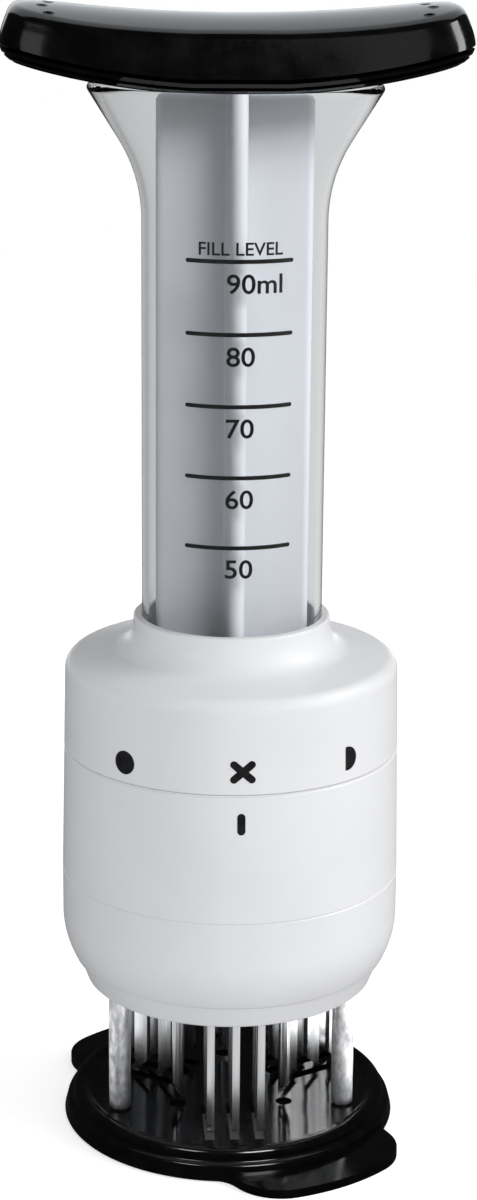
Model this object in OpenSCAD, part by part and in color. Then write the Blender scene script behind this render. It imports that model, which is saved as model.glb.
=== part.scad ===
// Marinade injector with needle guard: a flared measuring tube with a palm plunger stands on a
// round body whose dial sets the flow. Hollow needles and flat blades hang under the body,
// covered by a sprung guard plate on three posts.
// The origin is the middle of the guard plate's foot, +Z points up and the dial marks face -Y.

/* [Guard plate] */
// Radius of the plate at its foot
plate_r = 32.25; // [32:0.25:36]
// Radius of the flat floor inside the rim
floor_r = 27.3; // [26.8:0.1:28]
// Height of the floor above the table
floor_h = 4.8; // [4.4:0.1:5.2]
// Thickness of the floor
floor_t = 2.2; // [1.6:0.1:2.4]
// Height of the rim crest above the table
rim_h = 5.6; // [5.4:0.1:6.6]
// Width of the foot ring that meets the table
foot_w = 3.6; // [2.5:0.1:4.2]
// Reach of the finger tabs from the axis
tab_reach = 40; // [38:0.2:45]
// Width of the finger tabs
tab_w = 35; // [30:0.5:40]
// Thickness of the finger tabs
tab_t = 1.8; // [1.4:0.1:3]
// Direction of the front finger tab
tab_turn = -60; // [-75:1:-45]

/* [Posts and springs] */
// Distance of the guide posts from the axis
post_ring_r = 23.6; // [23.4:0.1:24]
// Radius of a guide post
post_r = 2.1; // [1.8:0.05:2.15]
// Turn of the two front posts away from the front
post_spread = 66; // [62:1:72]
// Travel of the guard plate
travel = 22; // [14:0.5:23]
// Diameter of the spring wire
wire_d = 0.8; // [0.6:0.05:0.9]
// Number of turns of a spring
spring_turns = 7; // [5:1:7]

/* [Needles and blades] */
// Distance of the hollow needles from the axis
needle_ring_r = 13.5; // [12.5:0.1:14]
// Radius of a hollow needle
needle_r = 1.15; // [0.9:0.05:1.4]
// Radius of the needle bore
needle_bore_r = 0.7; // [0.4:0.05:0.8]
// Turn of the two front needles away from the front
needle_spread = 50; // [46:1:56]
// Number of blades in a group
blade_count = 3; // [2:1:3]
// Thickness of a blade
blade_t = 1.4; // [0.8:0.1:1.6]
// Space from one blade of a group to the next
blade_pitch = 4.75; // [4:0.05:5]
// Distance of the inner blade edge from the axis
blade_in_r = 10; // [9.6:0.1:11]
// Distance of the outer blade edge from the axis
blade_out_r = 23.4; // [21:0.1:23.6]
// Number of tines of a blade
tine_count = 3; // [2:1:4]
// Width of a tine
tine_w = 2.8; // [1.6:0.1:3.2]
// Height of the points above the guard floor
tip_gap = 1.2; // [0.6:0.1:2.5]

/* [Body shells] */
// Height of the tapered lip under the body
lip_h = 4.6; // [3.6:0.1:5.5]
// Height of the lower skirt
skirt_h = 17.6; // [16:0.1:20]
// Height of the index ring
ring_h = 24.4; // [22:0.1:26]
// Height of the straight wall of the dial
dial_h = 15.3; // [14:0.1:18]
// Radius at the top edge of the dial wall
dial_r = 31.4; // [31.2:0.05:31.8]
// Radius at the widest seam, under the index ring
body_r = 32.2; // [32:0.05:32.6]
// Thickness of the shell walls
wall = 2; // [1.8:0.05:2.1]
// Slope of the dial shoulder
shoulder_pitch = 9; // [4:1:14]
// Turn of the dial from closed to an open setting
dial_step = 41; // [38:1:50]

/* [Measuring tube] */
// Outer radius of the tube
tube_r = 16.9; // [16.6:0.05:17]
// Thickness of the tube wall
tube_wall = 1.2; // [1:0.05:1.8]
// Height of the tube above the dial neck
tube_show = 98; // [80:0.2:120]
// Outer radius of the flared mouth
mouth_r = 26.6; // [26.4:0.1:28]
// Slope of the flare away from upright
flare_turn = 31; // [28:1:38]

/* [Plunger] */
// Width across the rod fins
rod_span = 28.6; // [24:0.1:29]
// Thickness of the rod fins
fin_t = 2.9; // [2:0.1:4]
// Height of the piston head
head_h = 9; // [8:0.1:12]
// Length of the handle
handle_l = 84; // [76:0.5:96]
// Depth of the handle, front to back
handle_d = 30; // [26:0.5:32]
// Height of the handle at its middle, without the crown
handle_h = 10.7; // [9:0.1:14]
// Rise of the handle crown
crown_h = 3.2; // [2:0.1:4]

/* [Hidden] */
$fn = 96;
running_fit = 0.05;
seat_fit = 0.1;
body_gap = 0.3;
seam_edge = 0.25;
needle_turns = [-90 - needle_spread, -90 + needle_spread, 90];
post_turns = [-90 - post_spread, -90 + post_spread, 90];
group_turns = [-90, 30, 150];

// Levels, from the table up
rim_gap = 1.8;
lip_z = rim_h + travel + rim_gap;
skirt_z = lip_z + lip_h;
ring_z = skirt_z + skirt_h;
dial_z = ring_z + ring_h;
shoulder_z = dial_z + dial_h;
tip_z = floor_h + tip_gap;

// Rim and tab of the guard plate
rim_slope_w = 1.4;
rim_side_w = 1.7;
rim_round_r = 1.2;
foot_edge = 0.3;
rim_in_r = floor_r + rim_slope_w;
rim_out_r = plate_r - rim_side_w;
tab_corner_r = 10;
tab_fillet = 6;
slot_play = 0.35;
slot_end_play = 0.9;
hole_play = 0.45;

// Needle plate
lip_wall = 1.9;
lip_recess = 1.5;
lip_taper = 1.6;
lip_r = post_ring_r + post_r + seat_fit + lip_wall;
lip_top_r = lip_r + lip_taper;
plate_spigot_r = lip_top_r - lip_taper / 2;
plate_spigot_h = 3;
plate_top_z = skirt_z + plate_spigot_h;

// Skirt
skirt_step = 0.7;
skirt_foot_r = lip_top_r + skirt_step;
skirt_round_h = 8.7;
skirt_steps = 10;
skirt_in_r = body_r - wall;
skirt_bore_r = plate_spigot_r + seat_fit;
skirt_flange_z = plate_top_z + body_gap;
lap_r = body_r - wall / 2;
lap_h = 4;

// Valve
seat_h = 12;
seat_roof = 4;
seat_wall = 2.8;
gasket_t = 1.4;
rotor_wall = 2.3;
sleeve_in_r = tube_r + rotor_wall + body_gap;
sleeve_wall = 1.2;
seat_r = sleeve_in_r - seat_fit;
rotor_r = sleeve_in_r - body_gap;
rotor_floor = 3.2;
rotor_h = 12;
port_ring_r = 9;
port_r = 2.5;
half_port_r = 1.3;
gasket_z = plate_top_z + seat_h;
rotor_z = gasket_z + gasket_t + seat_fit;
tube_seal_h = 1.2;
tube_z = rotor_z + rotor_floor + tube_seal_h;
groove_w = 1.2;
groove_h = 1.2;
groove_r = seat_r - seat_wall / 2;

// Index ring
dial_lean = 0.3;
ring_top_r = dial_r + dial_lean;
deck_t = 2.4;
deck_drop = 3.1;
deck_z = dial_z - deck_drop - deck_t;
spigot_h = 8.6;
spigot_w = 1.8;
dial_in_r = dial_r - wall;
spigot_r = dial_in_r - running_fit;
bead_w = 0.5;
bead_h = 1.2;
bead_drop = 0.6;

// Guide posts
post_head_r = 2.6;
post_head_h = 2;
post_pilot_r = 1.4;
post_pilot_h = 2.5;
post_chamfer = 0.5;
post_head_z = plate_top_z + body_gap;
screw_r = 1.1;
screw_head_r = 2.1;
screw_head_h = 1.3;
screw_grip = 7;
spring_z = post_head_z + post_head_h;
spring_r = post_head_r - wire_d / 2;

// Dial
edge_round_r = 2.6;
neck_fillet_r = 5;
neck_rise = 1.8;
neck_round_r = 0.5;
neck_wall = 1.5;
neck_r = tube_r + seat_fit + neck_wall;
hub_drop = 14;
hub_wall = 2.2;
neck_slope_r = neck_r + neck_fillet_r * (1 - sin(shoulder_pitch));
edge_slope_r = dial_r - edge_round_r * (1 - sin(shoulder_pitch));
edge_slope_z = shoulder_z + edge_round_r * cos(shoulder_pitch);
neck_slope_z = edge_slope_z + (edge_slope_r - neck_slope_r) * tan(shoulder_pitch);
neck_fillet_z = neck_slope_z + neck_fillet_r * cos(shoulder_pitch);
neck_z = neck_fillet_z + neck_rise;
hub_z = neck_z - hub_drop;

// Tube flare: an arc that turns outward, a straight cone and a rolled edge
bore_r = tube_r - tube_wall;
flare_bend_r = 27;
edge_swell = 0.2;
edge_bead_r = tube_wall / 2 + edge_swell;
mouth_z = neck_z + tube_show;
cone_end_r = mouth_r - edge_bead_r + tube_wall / 2 * cos(flare_turn);
cone_end_z = mouth_z - edge_bead_r - tube_wall / 2 * sin(flare_turn);
bend_end_r = tube_r + flare_bend_r * (1 - cos(flare_turn));
bend_end_z = cone_end_z - (cone_end_r - bend_end_r) / tan(flare_turn);
flare_z = bend_end_z - flare_bend_r * sin(flare_turn);
flange_w = 2.2;
flange_h = 2.4;

// Plunger
head_gap = 2.7;
head_r = bore_r - body_gap;
head_z = rotor_z + rotor_floor + head_gap + tube_seal_h;
rod_z = head_z + head_h;
seal_h = 3.8;
seal_depth = 2.5;
seal_z = head_z + (head_h - seal_h) / 2;
seal_in_r = head_r - seal_depth;
rod_spigot_r = 4;
rod_spigot_h = 4.5;
stem_r = 5;
stem_h = 7;

// Handle
belly_drop = 1.6;
belly_r = 146;
top_dip_r = 195;
crest_dip_r = 300;
end_drop = 3.3;
end_power = 20;
shell_split_h = 2.8;
split_gap = 0.1;
underside_inset = 3.2;
wall_lean = 1.3;
grip_round_r = 2.8;
grip_round_turn = 65;
top_inset = wall_lean + grip_round_r * (1 - cos(grip_round_turn));
belly_z = mouth_z - belly_drop;
top_edge_z = belly_z + handle_h;
plan_power = 5;
plan_points = 48;

white = [0.93, 0.93, 0.95];
black = [0.05, 0.05, 0.055];
steel = [0.75, 0.76, 0.78];
clear = [0.82, 0.85, 0.88, 0.4];
grey = [0.72, 0.73, 0.75];
silicone = [0.55, 0.56, 0.58];

// Points of an arc about a centre, from one angle to another
function arc(centre, r, from, to, steps = 10) =
    [for (i = [0:steps])
        let (turn = from + (to - from) * i / steps)
            centre + r * [cos(turn), sin(turn)]];

module revolve(profile) {
    rotate_extrude()
        polygon(profile);
}

module ring(outer_r, inner_r, z, h) {
    translate([0, 0, z])
        difference() {
            cylinder(r = outer_r, h = h);
            translate([0, 0, -1])
                cylinder(r = inner_r, h = h + 2);
        }
}

// One copy for each direction of a list, moved out along that direction
module around(turns, reach = 0) {
    for (turn = turns)
        rotate(turn)
            translate([reach, 0, 0])
                children();
}

// A closed skin through rings of points, with a fan at each end
module skin(rings) {
    count = len(rings[0]);
    last = len(rings) - 1;
    points = [for (r = rings) each r];
    walls = [for (k = [0:last - 1], i = [0:count - 1])
        let (j = (i + 1) % count, a = k * count, b = a + count)
            each [[a + i, b + i, b + j], [a + i, b + j, a + j]]];
    low = [for (i = [1:count - 2]) [0, i, i + 1]];
    high = [for (i = [1:count - 2]) [last * count, last * count + i + 1, last * count + i]];
    polyhedron(points = points, faces = concat(walls, low, high), convexity = 6);
}

// Handle: a boat-shaped grip in two shells, hollowed along its length, crowned across it and
// rounded down at both ends
function belly(x) = belly_z + x * x / (2 * belly_r);
function split(x) = belly(x) + shell_split_h;
function top_edge(x) = top_edge_z + x * x / (2 * top_dip_r);
function crest(x) = top_edge_z + crown_h + x * x / (2 * crest_dip_r)
    - end_drop * pow(abs(2 * x / handle_l), end_power);
function crown(p) = let (low = top_edge(p[0])) low + (crest(p[0]) - low) * (1 - pow(2 * p[1] / handle_d, 2));
function signed_power(v, e) = sign(v) * pow(abs(v), e);
function plan_point(turn, inset, share) = share * [
    (handle_l / 2 - inset) * signed_power(cos(turn), 2 / plan_power),
    (handle_d / 2 - inset) * signed_power(sin(turn), 2 / plan_power)];
function plan(inset, share = 1) =
    [for (i = [0:plan_points - 1]) plan_point(360 * (i + 0.5) / plan_points, inset, share)];

// Ring of the rounded edge between the walls and the crown, by its turn away from the wall
function edge_ring(turn) =
    let (edge = plan(top_inset), side = plan(wall_lean + grip_round_r * (1 - cos(turn))))
        [for (i = [0:plan_points - 1])
            [each side[i], crown(edge[i]) - grip_round_r * (sin(grip_round_turn) - sin(turn))]];

module handle_top_shell() {
    base = [for (share = [0.02, 0.5, 0.85, 1])
        [for (p = plan(0, share)) [each p, split(p[0]) + split_gap]]];
    waist_plan = plan(wall_lean / 3);
    wall_top = edge_ring(0);
    waist = [for (i = [0:plan_points - 1])
        [each waist_plan[i], (split(waist_plan[i][0]) + wall_top[i][2]) / 2]];
    edge = [for (turn = [22, 44]) edge_ring(turn)];
    top = [for (share = [1, 0.93, 0.84, 0.7, 0.5, 0.25, 0.02])
        [for (p = plan(top_inset, share)) [each p, crown(p)]]];
    color(black)
        difference() {
            skin(concat(base, [waist, wall_top], edge, top));
            translate([0, 0, belly_z])
                cylinder(r = stem_r + seat_fit, h = stem_h + seat_fit);
        }
}

module handle_bottom_shell() {
    under = [for (share = [0.02, 0.5, 0.85, 1])
        [for (p = plan(underside_inset, share)) [each p, belly(p[0])]]];
    sides = [for (turn = [30, 60, 90])
        [for (p = plan(underside_inset * (1 - sin(turn))))
            [each p, belly(p[0]) + shell_split_h * (1 - cos(turn))]]];
    top = [for (share = [0.85, 0.5, 0.02])
        [for (p = plan(0, share)) [each p, split(p[0])]]];
    color(black)
        difference() {
            skin(concat(under, sides, top));
            translate([0, 0, belly_z - 1])
                cylinder(r = stem_r + seat_fit, h = shell_split_h + 2);
        }
}

// Cross-shaped rod with a stem in the handle and a spigot in the piston head
module plunger_rod() {
    fin_h = belly_z - seat_fit - rod_z;
    color(grey)
        union() {
            for (turn = [0, 90])
                rotate(turn)
                    translate([0, 0, rod_z])
                        linear_extrude(fin_h) {
                            square([rod_span - fin_t, fin_t], center = true);
                            for (side = [-1, 1])
                                translate([side * (rod_span - fin_t) / 2, 0])
                                    circle(d = fin_t);
                        }
            translate([0, 0, belly_z - stem_h])
                cylinder(r = stem_r, h = 2 * stem_h);
            translate([0, 0, rod_z - rod_spigot_h])
                cylinder(r = rod_spigot_r, h = rod_spigot_h + 1);
        }
}

module piston_head() {
    color(grey)
        difference() {
            translate([0, 0, head_z])
                cylinder(r = head_r, h = head_h);
            ring(head_r + 1, seal_in_r, seal_z, seal_h);
            translate([0, 0, rod_z - rod_spigot_h - seat_fit])
                cylinder(r = rod_spigot_r + running_fit, h = rod_spigot_h + 1);
        }
}

// Wiper ring in the groove of the piston head, it slides in the tube
module piston_seal() {
    color(silicone)
        ring(bore_r - running_fit, seal_in_r + running_fit, seal_z + seat_fit, seal_h - 2 * seat_fit);
}

// Clear tube with a flared mouth, held under the dial hub by its flange
module measuring_tube() {
    bend = [tube_r + flare_bend_r, flare_z];
    outer = arc(bend, flare_bend_r, 180, 180 - flare_turn);
    inner = arc(bend, flare_bend_r + tube_wall, 180 - flare_turn, 180);
    slant = tube_wall * [cos(flare_turn), -sin(flare_turn)];
    cone_end = [cone_end_r, cone_end_z];
    profile = concat([[bore_r, tube_z], [tube_r, tube_z]], outer, [cone_end, cone_end - slant], inner);
    color(clear)
        union() {
            revolve(profile);
            rotate_extrude()
                translate(cone_end - slant / 2)
                    circle(r = edge_bead_r);
            ring(tube_r + flange_w, bore_r, hub_z - flange_h, flange_h);
        }
}

module tube_seal() {
    color(silicone)
        ring(tube_r, bore_r + seat_fit, tube_z - tube_seal_h, tube_seal_h);
}

// Cup under the tube, its one port turns over the ports of the manifold
module valve_rotor() {
    color(white)
        difference() {
            translate([0, 0, rotor_z])
                cylinder(r = rotor_r, h = rotor_h);
            translate([0, 0, rotor_z + rotor_floor])
                cylinder(r = tube_r + running_fit, h = rotor_h);
            around([-90], port_ring_r)
                translate([0, 0, rotor_z - 1])
                    cylinder(r = port_r, h = rotor_floor + 2);
        }
}

// Dial with a sloping shoulder and a neck, it turns on the index ring behind a snap bead
module dial_collar() {
    foot_z = dial_z + body_gap;
    bead_z = dial_z + spigot_h - bead_drop - bead_h;
    groove = [bead_z - body_gap, bead_z + bead_h + body_gap];
    roof = wall / cos(shoulder_pitch);
    hub_r = tube_r + seat_fit + hub_wall;
    slope = 90 - shoulder_pitch;
    outer = concat(
        [[ring_top_r - seam_edge, foot_z], [ring_top_r, foot_z + seam_edge]],
        arc([dial_r - edge_round_r, shoulder_z], edge_round_r, 0, slope),
        arc([neck_r + neck_fillet_r, neck_fillet_z], neck_fillet_r, 180 + slope, 180),
        arc([neck_r - neck_round_r, neck_z - neck_round_r], neck_round_r, 0, 90, 4));
    inner = [
        [tube_r + seat_fit, neck_z],
        [tube_r + seat_fit, hub_z],
        [hub_r, hub_z],
        [hub_r, edge_slope_z - roof + (edge_slope_r - hub_r) * tan(shoulder_pitch)],
        [dial_in_r, edge_slope_z - roof + (edge_slope_r - dial_in_r) * tan(shoulder_pitch)],
        [dial_in_r, groove[1]],
        [dial_in_r + bead_w + seat_fit, groove[1]],
        [dial_in_r + bead_w + seat_fit, groove[0]],
        [dial_in_r, groove[0]],
        [dial_in_r, foot_z]];
    color(white)
        revolve(concat(outer, inner));
}

// Fixed ring under the dial: outer wall, spring deck, valve sleeve and the spigot the dial turns on
module index_ring() {
    bead_top = dial_z + spigot_h - bead_drop;
    spigot_in_r = spigot_r - spigot_w;
    lap_top_z = ring_z + lap_h + seat_fit;
    profile = [
        [lap_r, ring_z],
        [body_r - seam_edge, ring_z],
        [body_r, ring_z + seam_edge],
        [ring_top_r, dial_z - seam_edge],
        [ring_top_r - seam_edge, dial_z],
        [spigot_r, dial_z],
        [spigot_r, bead_top - bead_h],
        [spigot_r + bead_w, bead_top - bead_h / 2],
        [spigot_r + bead_w, bead_top - bead_h / 4],
        [spigot_r, bead_top],
        [spigot_r, dial_z + spigot_h],
        [spigot_in_r, dial_z + spigot_h],
        [spigot_in_r, deck_z + deck_t],
        [sleeve_in_r, deck_z + deck_t],
        [sleeve_in_r, gasket_z - seat_roof],
        [sleeve_in_r + sleeve_wall, gasket_z - seat_roof],
        [sleeve_in_r + sleeve_wall, deck_z],
        [ring_top_r - wall, deck_z],
        [skirt_in_r, lap_top_z],
        [lap_r, lap_top_z]];
    color(white)
        revolve(profile);
}

module flow_ports(z, h, extra = 0) {
    around([-90 + dial_step], port_ring_r)
        translate([0, 0, z])
            cylinder(r = port_r + extra, h = h);
    around([-90 - dial_step], port_ring_r)
        translate([0, 0, z])
            cylinder(r = half_port_r + extra, h = h);
}

module valve_gasket() {
    color(silicone)
        difference() {
            translate([0, 0, gasket_z])
                cylinder(r = seat_r, h = gasket_t);
            flow_ports(gasket_z - 1, gasket_t + 2, seat_fit);
        }
}

// Chamber over the needles, with a full and a half port in its roof
module valve_manifold() {
    color(white)
        difference() {
            translate([0, 0, plate_top_z])
                cylinder(r = seat_r, h = seat_h);
            translate([0, 0, plate_top_z - 1])
                cylinder(r = seat_r - seat_wall, h = seat_h - seat_roof + 1);
            ring(groove_r + groove_w / 2, groove_r - groove_w / 2, plate_top_z - 1, groove_h + 1);
            flow_ports(gasket_z - seat_roof - 1, seat_roof + 2);
        }
}

module chamber_seal() {
    half = groove_w / 2 - running_fit;
    color(silicone)
        ring(groove_r + half, groove_r - half, plate_top_z, groove_h - seat_fit);
}

// A point of the skirt's wall, which swells from its foot up to the full radius
function skirt_point(share, inset) = [
    body_r - inset - (body_r - skirt_foot_r) * pow(1 - share, 2),
    skirt_z + seam_edge + share * (skirt_round_h - seam_edge)];

// Lower shell with a rounded foot, its thin top edge laps inside the index ring
module lower_skirt() {
    outer = concat(
        [[skirt_foot_r - seam_edge, skirt_z]],
        [for (i = [0:skirt_steps]) skirt_point(i / skirt_steps, 0)],
        [[body_r, ring_z - seam_edge], [body_r - seam_edge, ring_z]],
        [[lap_r - seat_fit, ring_z], [lap_r - seat_fit, ring_z + lap_h], [skirt_in_r, ring_z + lap_h]]);
    inner = [for (i = [skirt_steps:-1:0])
        let (p = skirt_point(i / skirt_steps, wall))
            if (p[1] > skirt_flange_z) p];
    bore = [[skirt_bore_r, skirt_flange_z], [skirt_bore_r, skirt_z]];
    color(white)
        revolve(concat(outer, inner, bore));
}

// Place of a blade's middle plane, counted across its group
function blade_offset(i) = (i - (blade_count - 1) / 2) * blade_pitch;

// A steel strip cut into tines, each with a slanted point at its outer edge
module blade() {
    tine_step = (blade_out_r - blade_in_r - tine_w) / (tine_count - 1);
    point_h = 0.8 * tine_w;
    rotate([90, 0, 0])
        linear_extrude(blade_t, center = true) {
            translate([blade_in_r, lip_z + lip_recess])
                square([blade_out_r - blade_in_r, plate_top_z - lip_z - lip_recess]);
            for (k = [0:tine_count - 1])
                translate([blade_in_r + k * tine_step, 0])
                    polygon([[0, plate_top_z], [tine_w, plate_top_z], [tine_w, tip_z],
                        [0, tip_z + point_h]]);
        }
}

module blade_group(turn) {
    rotate(turn)
        for (i = [0:blade_count - 1])
            translate([0, blade_offset(i), 0])
                blade();
}

// Openings for all blades, wider and longer than them by a clearance
module blade_slots(z, h, side_play, end_play) {
    for (turn = group_turns)
        rotate(turn)
            for (i = [0:blade_count - 1])
                translate([blade_in_r - end_play, blade_offset(i) - blade_t / 2 - side_play, z])
                    cube([blade_out_r - blade_in_r + 2 * end_play, blade_t + 2 * side_play, h]);
}

// Tapered white plate that holds the needles and blades and guides the posts
module needle_plate() {
    profile = [
        [0, lip_z + lip_recess],
        [lip_r - lip_wall, lip_z + lip_recess],
        [lip_r - lip_wall, lip_z],
        [lip_r - seam_edge, lip_z],
        [lip_r, lip_z + seam_edge],
        [lip_top_r, skirt_z - seam_edge],
        [lip_top_r - seam_edge, skirt_z],
        [plate_spigot_r, skirt_z],
        [plate_spigot_r, plate_top_z],
        [0, plate_top_z]];
    color(white)
        difference() {
            revolve(profile);
            blade_slots(lip_z - 1, plate_top_z - lip_z + 2, running_fit, running_fit);
            around(post_turns, post_ring_r)
                translate([0, 0, lip_z - 1])
                    cylinder(r = post_r + running_fit, h = plate_top_z - lip_z + 2);
            around(needle_turns, needle_ring_r)
                translate([0, 0, lip_z - 1])
                    cylinder(r = needle_r + running_fit, h = plate_top_z - lip_z + 2);
        }
}

// Hollow needles with a slanted point, open into the chamber above the plate
module injection_needles() {
    rise = 2;
    bevel = 35;
    color(steel)
        around(needle_turns, needle_ring_r)
            difference() {
                translate([0, 0, tip_z])
                    cylinder(r = needle_r, h = plate_top_z + rise - tip_z);
                translate([0, 0, tip_z - 1])
                    cylinder(r = needle_bore_r, h = plate_top_z + rise - tip_z + 2);
                translate([-needle_r, 0, tip_z])
                    rotate([0, bevel - 90, 0])
                        translate([-needle_r, -2 * needle_r, -4 * needle_r])
                            cube([8 * needle_r, 4 * needle_r, 4 * needle_r]);
            }
}

module front_blades() {
    color(steel)
        blade_group(group_turns[0]);
}

module right_blades() {
    color(steel)
        blade_group(group_turns[1]);
}

module left_blades() {
    color(steel)
        blade_group(group_turns[2]);
}

// Springs between the post heads and the deck of the index ring, each one unbroken wire
rings_per_turn = 8;
wire_sides = 6;
spring_steps = spring_turns * rings_per_turn;
spring_rise = deck_z - spring_z - wire_d;
function coil_point(i) =
    let (turn = 360 * i / rings_per_turn)
        [spring_r * cos(turn), spring_r * sin(turn), spring_z + wire_d / 2 + spring_rise * i / spring_steps];
function coil_ring(i) =
    let (turn = 360 * i / rings_per_turn, out = [cos(turn), sin(turn), 0], mid = coil_point(i))
        [for (s = [0:wire_sides - 1])
            mid + wire_d / 2 * (cos(360 * s / wire_sides) * out + [0, 0, sin(360 * s / wire_sides)])];
coil_gap = min([for (i = [0:spring_steps - rings_per_turn / 2], j = [i + rings_per_turn / 2:spring_steps])
    norm(coil_point(i) - coil_point(j))]) - wire_d;
echo(least_spring_gap = coil_gap);

module post_springs() {
    color(steel)
        around(post_turns, post_ring_r)
            skin([for (i = [0:spring_steps]) coil_ring(i)]);
}

// Posts that carry the guard plate, headed above the needle plate so that they cannot drop out
module guide_posts() {
    color(steel)
        around(post_turns, post_ring_r)
            difference() {
                union() {
                    translate([0, 0, floor_h])
                        cylinder(r1 = post_r - post_chamfer, r2 = post_r, h = post_chamfer);
                    translate([0, 0, floor_h + post_chamfer])
                        cylinder(r = post_r, h = post_head_z - floor_h);
                    translate([0, 0, post_head_z])
                        cylinder(r = post_head_r, h = post_head_h);
                    translate([0, 0, post_head_z])
                        cylinder(r = post_pilot_r, h = post_head_h + post_pilot_h);
                }
                translate([0, 0, floor_h - 1])
                    cylinder(r = screw_r + running_fit, h = screw_grip + seat_fit + 1);
            }
}

// Screws that hold the guard plate to the posts from below
module post_screws() {
    under_z = floor_h - floor_t;
    color(steel)
        around(post_turns, post_ring_r)
            union() {
                translate([0, 0, under_z - screw_head_h])
                    cylinder(r = screw_head_r, h = screw_head_h);
                translate([0, 0, under_z - screw_head_h])
                    cylinder(r = screw_r, h = screw_head_h + floor_t + screw_grip);
            }
}

// Outline of a finger tab, pointing along +X
module tab_outline() {
    corner_reach = tab_reach - tab_corner_r;
    corner_side = tab_w / 2 - tab_corner_r;
    corner_turn = asin(corner_side / corner_reach);
    corner_x = corner_reach * cos(corner_turn);
    intersection() {
        circle(r = tab_reach);
        polygon([[0, 0], 2 * [corner_x, corner_side], 2 * [corner_x, -corner_side]]);
    }
    for (side = [-1, 1])
        translate([corner_x, side * corner_side])
            circle(r = tab_corner_r);
    translate([0, -tab_w / 2])
        square([corner_x, tab_w]);
}

// Shallow dish with a rolled rim, two finger tabs, and openings for the needles and blades
module guard_plate() {
    rim = concat(
        [[floor_r - 1, floor_h - floor_t], [floor_r - 1, floor_h], [floor_r, floor_h]],
        [[rim_in_r, rim_h]],
        arc([rim_out_r - rim_round_r, rim_h - rim_round_r], rim_round_r, 90, 20, 5),
        [[plate_r - foot_edge, tab_t / 2], [plate_r, foot_edge], [plate_r - foot_edge, 0]],
        [[plate_r - foot_w, 0], [plate_r - foot_w - foot_edge, floor_h - floor_t]]);
    color(black)
        difference() {
            union() {
                revolve(rim);
                translate([0, 0, floor_h - floor_t])
                    cylinder(r = floor_r, h = floor_t);
                linear_extrude(tab_t)
                    difference() {
                        offset(r = -tab_fillet)
                            offset(r = tab_fillet)
                                union() {
                                    circle(r = plate_r - foot_edge);
                                    for (turn = [tab_turn, tab_turn + 180])
                                        rotate(turn)
                                            tab_outline();
                                }
                        circle(r = plate_r - foot_w / 2);
                    }
            }
            blade_slots(-1, floor_h + 2, slot_play, slot_end_play);
            around(needle_turns, needle_ring_r)
                translate([0, 0, -1])
                    cylinder(r = needle_r + hole_play, h = floor_h + 2);
            around(post_turns, post_ring_r)
                translate([0, 0, -1])
                    cylinder(r = screw_r + seat_fit, h = floor_h + 2);
        }
}

handle_top_shell();
handle_bottom_shell();
plunger_rod();
piston_head();
piston_seal();
measuring_tube();
tube_seal();
valve_rotor();
dial_collar();
index_ring();
valve_gasket();
valve_manifold();
chamber_seal();
lower_skirt();
needle_plate();
injection_needles();
front_blades();
right_blades();
left_blades();
post_springs();
guide_posts();
post_screws();
guard_plate();
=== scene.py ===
import math

import bpy
from mathutils import Matrix, Vector


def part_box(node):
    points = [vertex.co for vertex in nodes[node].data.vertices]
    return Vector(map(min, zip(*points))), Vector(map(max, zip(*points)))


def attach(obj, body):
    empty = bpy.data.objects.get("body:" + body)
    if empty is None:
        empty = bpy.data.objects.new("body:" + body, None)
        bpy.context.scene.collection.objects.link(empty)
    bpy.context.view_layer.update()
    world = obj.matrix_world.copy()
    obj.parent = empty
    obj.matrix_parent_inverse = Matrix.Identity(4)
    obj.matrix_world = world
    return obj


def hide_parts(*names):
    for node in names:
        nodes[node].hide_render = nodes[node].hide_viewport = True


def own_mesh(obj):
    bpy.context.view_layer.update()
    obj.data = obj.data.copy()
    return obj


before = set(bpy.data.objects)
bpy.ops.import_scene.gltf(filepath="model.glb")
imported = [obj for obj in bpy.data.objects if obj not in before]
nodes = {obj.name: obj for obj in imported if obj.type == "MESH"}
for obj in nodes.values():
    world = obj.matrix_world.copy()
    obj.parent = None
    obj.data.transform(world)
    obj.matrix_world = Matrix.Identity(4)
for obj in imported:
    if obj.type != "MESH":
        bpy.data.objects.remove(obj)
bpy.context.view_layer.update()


# Guard plate: a shallow dish moulded in one piece from glossy black plastic.
# It has a rolled rim, two finger tabs, and openings for the needles and blades.
# It stands on its foot ring and hangs on three posts.
def arc(centre, radius, start, end, steps=8):
    """Points of a round stretch about a centre, between two angles in degrees."""
    turns = [math.radians(start + (end - start) * i / steps) for i in range(steps + 1)]
    return [(centre[0] + radius * math.cos(t), centre[1] + radius * math.sin(t)) for t in turns]


def circle(centre, radius, count):
    """Points all round a circle."""
    return arc(centre, radius, 0, 360 - 360 / count, count - 1)


def oblong(low_x, low_y, high_x, high_y):
    """The four corners of an oblong."""
    return [(low_x, low_y), (high_x, low_y), (high_x, high_y), (low_x, high_y)]


def turned(points, degrees):
    """Flat points turned about the upright axis."""
    c, s = math.cos(math.radians(degrees)), math.sin(math.radians(degrees))
    return [(x * c - y * s, x * s + y * c) for x, y in points]


def trace(name, points, closed=True):
    """A thin wire drawn from point to point and left in edit mode, as the start of a piece."""
    bpy.ops.object.select_all(action="DESELECT")
    bpy.ops.mesh.primitive_plane_add(size=0.001, location=(0, 0, 0))
    wire = bpy.context.object
    wire.name = wire.data.name = name
    bpy.ops.object.mode_set(mode="EDIT")
    bpy.ops.mesh.merge(type="CENTER")
    bpy.ops.transform.translate(value=points[0])
    for here, there in zip(points, points[1:] + points[:1] if closed else points[1:]):
        step = tuple(b - a for a, b in zip(here, there))
        bpy.ops.mesh.extrude_region_move(TRANSFORM_OT_translate={"value": step})
    bpy.ops.mesh.select_all(action="SELECT")
    bpy.ops.mesh.remove_doubles(threshold=1e-6)
    return wire


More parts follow.
